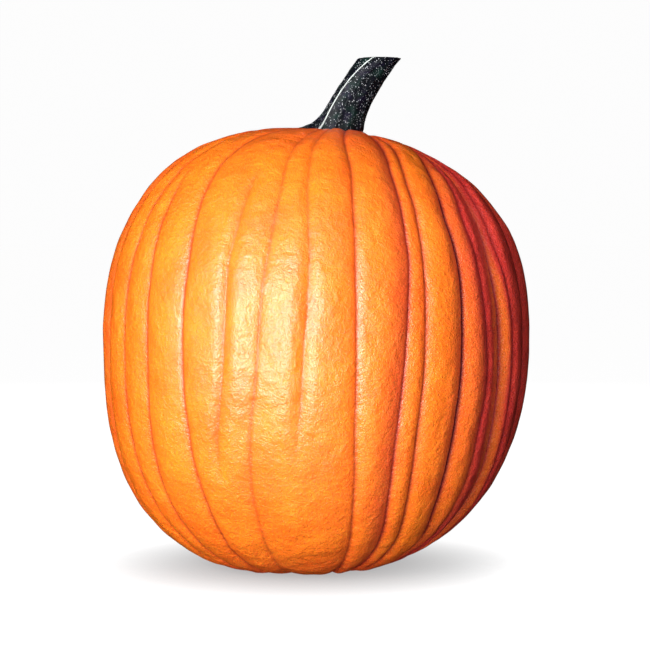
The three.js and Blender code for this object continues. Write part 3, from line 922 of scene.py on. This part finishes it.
class PUMPKIN_OT_stage(bpy.types.Operator):
    """Set out the floor, the surround, the lights and the camera"""

    bl_idname = "pumpkin.stage"
    bl_label = "Stage"

    def execute(self, context):
        settings = context.scene.pumpkin_stage
        collection = context.scene.collection
        reach = settings.reach
        floor_mesh = bpy.data.meshes.new("floor")
        corners = [(-reach, -reach, 0), (reach, -reach, 0), (reach, reach, 0), (-reach, reach, 0)]
        floor_mesh.from_pydata(corners, [], [(0, 1, 2, 3)])
        floor = bpy.data.objects.new("floor", floor_mesh)
        collection.objects.link(floor)
        floor.data.materials.append(matt_backdrop("Pale floor paper", settings.floor_colour))
        bpy.ops.mesh.primitive_uv_sphere_add(segments=48, ring_count=24, radius=reach)
        surround = context.active_object
        surround.name = "surround"
        surround.data.materials.append(matt_backdrop("Pale surround", settings.floor_colour))
        # The paper is only seen: it throws no light on the pumpkin and isn't mirrored in its wax.
        for paper in (floor, surround):
            paper.visible_diffuse = False
            paper.visible_glossy = False
            paper.visible_shadow = False
        aim = Vector(settings.aim)
        # Each light's name, power, breadth and height, azimuth and elevation, and distance.
        lights = (
            ("key", settings.key_power, 0.5, 1.1, -25, 8, 1.3),
            ("front", settings.front_power, 0.8, 1.1, 0, 4, 1.6),
            ("bounce", settings.bounce_power, 1.2, 1.2, -4, -32, 1.4),
            ("sheen", settings.sheen_power, 0.5, 0.8, -27, 6, 1.3),
            ("top", settings.top_power, 1.0, 1.0, -5, 50, 1.4),
            ("side", settings.side_power, 0.5, 1.1, -62, 8, 1.3),
            ("back", settings.back_power, 0.8, 1.2, 180, 25, 1.6),
        )
        for name, power, width, height, azimuth, elevation, distance in lights:
            light = bpy.data.lights.new(name, "AREA")
            light.shape = "RECTANGLE"
            light.size, light.size_y = width, height
            light.energy = power
            lamp = bpy.data.objects.new(name, light)
            lamp.visible_camera = False
            # The wax mirrors the sheen light alone, and that one lights nothing else.
            lamp.visible_glossy = name == "sheen"
            lamp.visible_diffuse = name != "sheen"
            collection.objects.link(lamp)
            point_at(lamp, aim, math.radians(azimuth), math.radians(elevation), distance)
        world = bpy.data.worlds.new("soft fill")
        context.scene.world = world
        world.use_nodes = True
        world.cycles_visibility.glossy = False
        backdrop = world.node_tree.nodes["Background"]
        backdrop.inputs["Color"].default_value = settings.fill_colour
        backdrop.inputs["Strength"].default_value = settings.fill
        camera = bpy.data.cameras.new("camera")
        camera.lens = settings.lens
        camera.sensor_width = 36
        camera.clip_end = 4 * reach
        camera_object = bpy.data.objects.new("camera", camera)
        collection.objects.link(camera_object)
        point_at(camera_object, aim, 0, settings.elevation, settings.distance)
        context.scene.camera = camera_object
        context.scene.view_settings.view_transform = "Standard"
        return {"FINISHED"}


def point_at(thing, aim, azimuth, elevation, distance):
    """Puts a camera or light at a distance from its aim, looking at it. Azimuth 0 is in front."""
    back = Vector((
        math.sin(azimuth) * math.cos(elevation),
        -math.cos(azimuth) * math.cos(elevation),
        math.sin(elevation),
    ))
    thing.location = aim + back * distance
    thing.rotation_euler = back.to_track_quat("Z", "Y").to_euler()


class PUMPKIN_PT_panel(bpy.types.Panel):
    """Buttons that build the pumpkin, with its main sizes and colours"""

    bl_label = "Pumpkin"
    bl_idname = "PUMPKIN_PT_panel"
    bl_space_type = "VIEW_3D"
    bl_region_type = "UI"
    bl_category = "Pumpkin"

    def draw(self, context):
        groups = (
            (context.scene.pumpkin_fruit, ("pumpkin.fruit",)),
            (context.scene.pumpkin_stem, ("pumpkin.stem", "pumpkin.prickles")),
            (context.scene.pumpkin_stage, ("pumpkin.stage",)),
        )
        for settings, operators in groups:
            box = self.layout.box()
            for name in settings.__annotations__:
                box.prop(settings, name)
            for operator in operators:
                box.operator(operator)


CLASSES = (
    FruitSettings, StemSettings, StageSettings,
    PUMPKIN_OT_fruit, PUMPKIN_OT_stem, PUMPKIN_OT_prickles, PUMPKIN_OT_stage,
    PUMPKIN_PT_panel,
)


def register():
    for made in CLASSES:
        bpy.utils.register_class(made)
    bpy.types.Scene.pumpkin_fruit = bpy.props.PointerProperty(type=FruitSettings)
    bpy.types.Scene.pumpkin_stem = bpy.props.PointerProperty(type=StemSettings)
    bpy.types.Scene.pumpkin_stage = bpy.props.PointerProperty(type=StageSettings)


def unregister():
    del bpy.types.Scene.pumpkin_stage
    del bpy.types.Scene.pumpkin_stem
    del bpy.types.Scene.pumpkin_fruit
    for made in reversed(CLASSES):
        bpy.utils.unregister_class(made)


def main():
    register()
    bpy.ops.pumpkin.fruit()
    bpy.ops.pumpkin.stem()
    bpy.ops.pumpkin.prickles()
    bpy.ops.pumpkin.stage()


if __name__ == "__main__":
    main()
